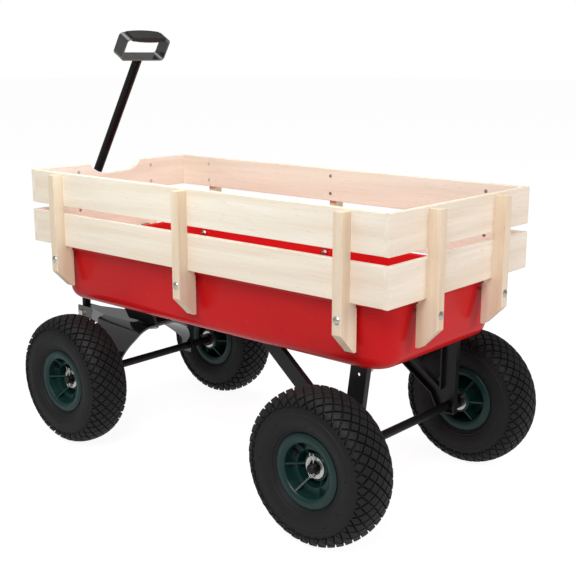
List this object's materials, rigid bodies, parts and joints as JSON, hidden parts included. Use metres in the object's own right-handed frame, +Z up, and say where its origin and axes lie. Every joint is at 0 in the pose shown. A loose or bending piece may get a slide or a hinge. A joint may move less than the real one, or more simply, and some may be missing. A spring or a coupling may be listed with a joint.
{
  "type": "kids pull wagon",
  "caption": "Kids pull wagon: steel tub with slatted wooden sides, pneumatic wheels on steel axles, steered front bracket and a tilting loop-grip pull handle.",
  "frame": {"origin": "on the ground, under the middle of the overall length and width", "axes": "+X forward towards the handle, +Y to the wagon's left, +Z up"},
  "size_m": [1.0536, 0.5504, 0.8278],
  "materials": {
    "red_paint": "gloss",
    "board_wood": "bare, sanded",
    "stake_wood": "bare, sanded",
    "black_steel": "satin powder coat",
    "zinc": "zinc plated",
    "tyre_rubber": "matte",
    "tube_rubber": "matte",
    "rim_plastic": "satin",
    "bearing_steel": "ground",
    "grip_plastic": "matte",
    "nylon": "matte"
  },
  "bodies": {
    "wagon_body": {"board_left_lower": "board_wood", "board_left_upper": "board_wood", "board_right_lower": "board_wood", "board_right_upper": "board_wood", "board_front_lower": "board_wood", "board_front_upper": "board_wood", "board_rear_lower": "board_wood", "board_rear_upper": "board_wood", "stake_left_front": "stake_wood", "stake_left_middle": "stake_wood", "stake_left_rear": "stake_wood", "stake_right_front": "stake_wood", "stake_right_middle": "stake_wood", "stake_right_rear": "stake_wood", "stake_front_left": "stake_wood", "stake_front_right": "stake_wood", "stake_rear_left": "stake_wood", "stake_rear_right": "stake_wood", "tub": "red_paint", "stake_bolts": "zinc", "stake_nuts": "zinc", "board_screws": "zinc", "rear_bracket_left": "black_steel", "rear_bracket_right": "black_steel", "rear_axle": "black_steel", "rear_washers": "zinc", "rear_clips": "zinc", "front_bolster": "black_steel", "bearing_disc": "nylon", "kingpin_bolt": "zinc", "kingpin_nut": "zinc", "floor_studs": "zinc", "floor_nuts": "zinc"},
    "steering": {"steering_bracket": "black_steel", "front_axle": "black_steel", "front_washers": "zinc", "front_clips": "zinc", "handle_pivot_bolt": "zinc", "handle_pivot_nut": "zinc"},
    "handle": {"handle_tube": "black_steel", "handle_loop": "black_steel", "handle_grip": "grip_plastic"},
    "wheel_front_left": {"tyre_front_left": "tyre_rubber", "inner_tube_front_left": "tube_rubber", "rim_front_left": "rim_plastic", "bearings_front_left": "bearing_steel"},
    "wheel_front_right": {"tyre_front_right": "tyre_rubber", "inner_tube_front_right": "tube_rubber", "rim_front_right": "rim_plastic", "bearings_front_right": "bearing_steel"},
    "wheel_rear_left": {"tyre_rear_left": "tyre_rubber", "inner_tube_rear_left": "tube_rubber", "rim_rear_left": "rim_plastic", "bearings_rear_left": "bearing_steel"},
    "wheel_rear_right": {"tyre_rear_right": "tyre_rubber", "inner_tube_rear_right": "tube_rubber", "rim_rear_right": "rim_plastic", "bearings_rear_right": "bearing_steel"}
  },
  "joints": [
    {"name": "steer", "type": "hinge", "parent": "wagon_body", "child": "steering", "pos_m": [0.27975, 0, 0.209], "axis": [0, 0, 1], "range_deg": [-27, 27]},
    {"name": "handle_tilt", "type": "hinge", "parent": "steering", "child": "handle", "pos_m": [0.51175, 0, 0.192], "axis": [0, 1, 0], "range_deg": [0, 120]},
    {"name": "spin_front_left", "type": "hinge", "parent": "steering", "child": "wheel_front_left", "pos_m": [0.27975, 0.213, 0.132], "axis": [0, 1, 0], "continuous": true},
    {"name": "spin_front_right", "type": "hinge", "parent": "steering", "child": "wheel_front_right", "pos_m": [0.27975, -0.213, 0.132], "axis": [0, 1, 0], "continuous": true},
    {"name": "spin_rear_left", "type": "hinge", "parent": "wagon_body", "child": "wheel_rear_left", "pos_m": [-0.38625, 0.232, 0.132], "axis": [0, 1, 0], "continuous": true},
    {"name": "spin_rear_right", "type": "hinge", "parent": "wagon_body", "child": "wheel_rear_right", "pos_m": [-0.38625, -0.232, 0.132], "axis": [0, 1, 0], "continuous": true}
  ]
}
